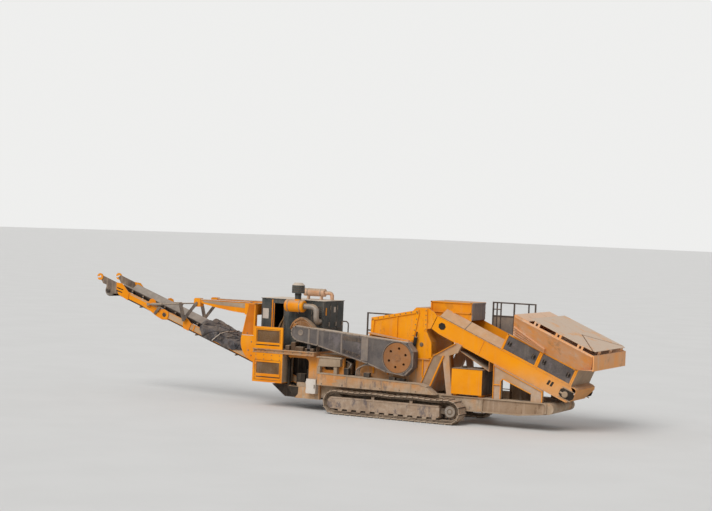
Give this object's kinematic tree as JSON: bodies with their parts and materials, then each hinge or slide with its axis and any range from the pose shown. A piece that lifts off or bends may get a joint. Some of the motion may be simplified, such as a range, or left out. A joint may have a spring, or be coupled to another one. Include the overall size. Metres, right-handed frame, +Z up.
{
  "type": "tracked crushing plant",
  "caption": "Crushing plant on tracks: sloping feeder with folding hopper flaps, crusher housing with belt drive guard, engine canopy and hung discharge conveyor.",
  "frame": {"origin": "on the ground under the middle of the bounding box", "axes": "+X along the plant towards the hopper, +Z up, -Y the near side with the belt drive guard"},
  "size_m": [16.4563, 2.9, 3.66],
  "materials": {
    "yellow_paint": "dusty orange-yellow paint",
    "dark_paint": "dark grey-green paint",
    "grey_paint": "dusty mid-grey paint",
    "pale_paint": "pale grey paint",
    "worn_steel": "worn, dusty steel",
    "rusty_steel": "light rust",
    "bright_steel": "dull bright steel",
    "rubber": "dusty rubber belt",
    "sheet": "dusty woven sheet"
  },
  "bodies": {
    "plant": {"air_cleaner": "yellow_paint", "bend_guard": "dark_paint", "canopy": "dark_paint", "chassis_frame": "yellow_paint", "control_box": "pale_paint", "conveyor_belt": "rubber", "conveyor_head_frame": "yellow_paint", "conveyor_skirts": "dark_paint", "conveyor_tail_frame": "yellow_paint", "cover_panels": "grey_paint", "crusher_front": "yellow_paint", "crusher_lower": "yellow_paint", "crusher_upper": "yellow_paint", "crusher_walkway": "dark_paint", "drive_guard": "grey_paint", "drums": "worn_steel", "dust_cover": "sheet", "engine": "worn_steel", "exhaust": "rusty_steel", "feeder_belt": "rubber", "feeder_frame": "yellow_paint", "feeder_pan": "yellow_paint", "feeder_supports": "yellow_paint", "feeder_walkway": "dark_paint", "fold_rams": "bright_steel", "gantry": "yellow_paint", "hanger_links": "dark_paint", "hopper_body": "yellow_paint", "hopper_walls": "yellow_paint", "hydraulic_tank": "yellow_paint", "inlet_curtain": "rubber", "inlet_hood": "yellow_paint", "intake_pipe": "bright_steel", "power_deck": "yellow_paint", "rain_cap": "dark_paint", "screen_box": "yellow_paint", "side_plates": "yellow_paint", "tail_cabinet": "dark_paint", "track_chain_far": "worn_steel", "track_chain_near": "worn_steel", "track_frames": "yellow_paint", "track_wheels": "worn_steel", "upper_screen": "yellow_paint"},
    "flap_near": {"side_flap_near": "yellow_paint"},
    "flap_far": {"side_flap_far": "yellow_paint"},
    "flap_rear": {"rear_flap": "yellow_paint"},
    "door_screen": {"screen_door": "yellow_paint"},
    "door_control": {"control_box_door": "pale_paint"},
    "pulley": {"drive_pulley": "rusty_steel"}
  },
  "joints": [
    {"name": "near_flap_hinge", "type": "hinge", "parent": "plant", "child": "flap_near", "pos_m": [7.18989, -1.422, 2.71156], "axis": [0.9205, 0, -0.3907], "range_deg": [0, 130]},
    {"name": "far_flap_hinge", "type": "hinge", "parent": "plant", "child": "flap_far", "pos_m": [7.18989, 1.422, 2.71156], "axis": [-0.9205, 0, 0.3907], "range_deg": [0, 130]},
    {"name": "rear_flap_hinge", "type": "hinge", "parent": "plant", "child": "flap_rear", "pos_m": [8.21626, 0, 2.2759], "axis": [0, 1, 0], "range_deg": [0, 120]},
    {"name": "screen_door_hinge", "type": "hinge", "parent": "plant", "child": "door_screen", "pos_m": [-2.1212, -1.264, 1.08], "axis": [0, 0, -1], "range_deg": [0, 110]},
    {"name": "control_door_hinge", "type": "hinge", "parent": "plant", "child": "door_control", "pos_m": [-0.4462, -1.185, 0.715], "axis": [0, 0, -1], "range_deg": [0, 120]},
    {"name": "pulley_spin", "type": "hinge", "parent": "plant", "child": "pulley", "pos_m": [2.3928, -1.1, 1.72], "axis": [0, 1, 0], "continuous": true}
  ]
}
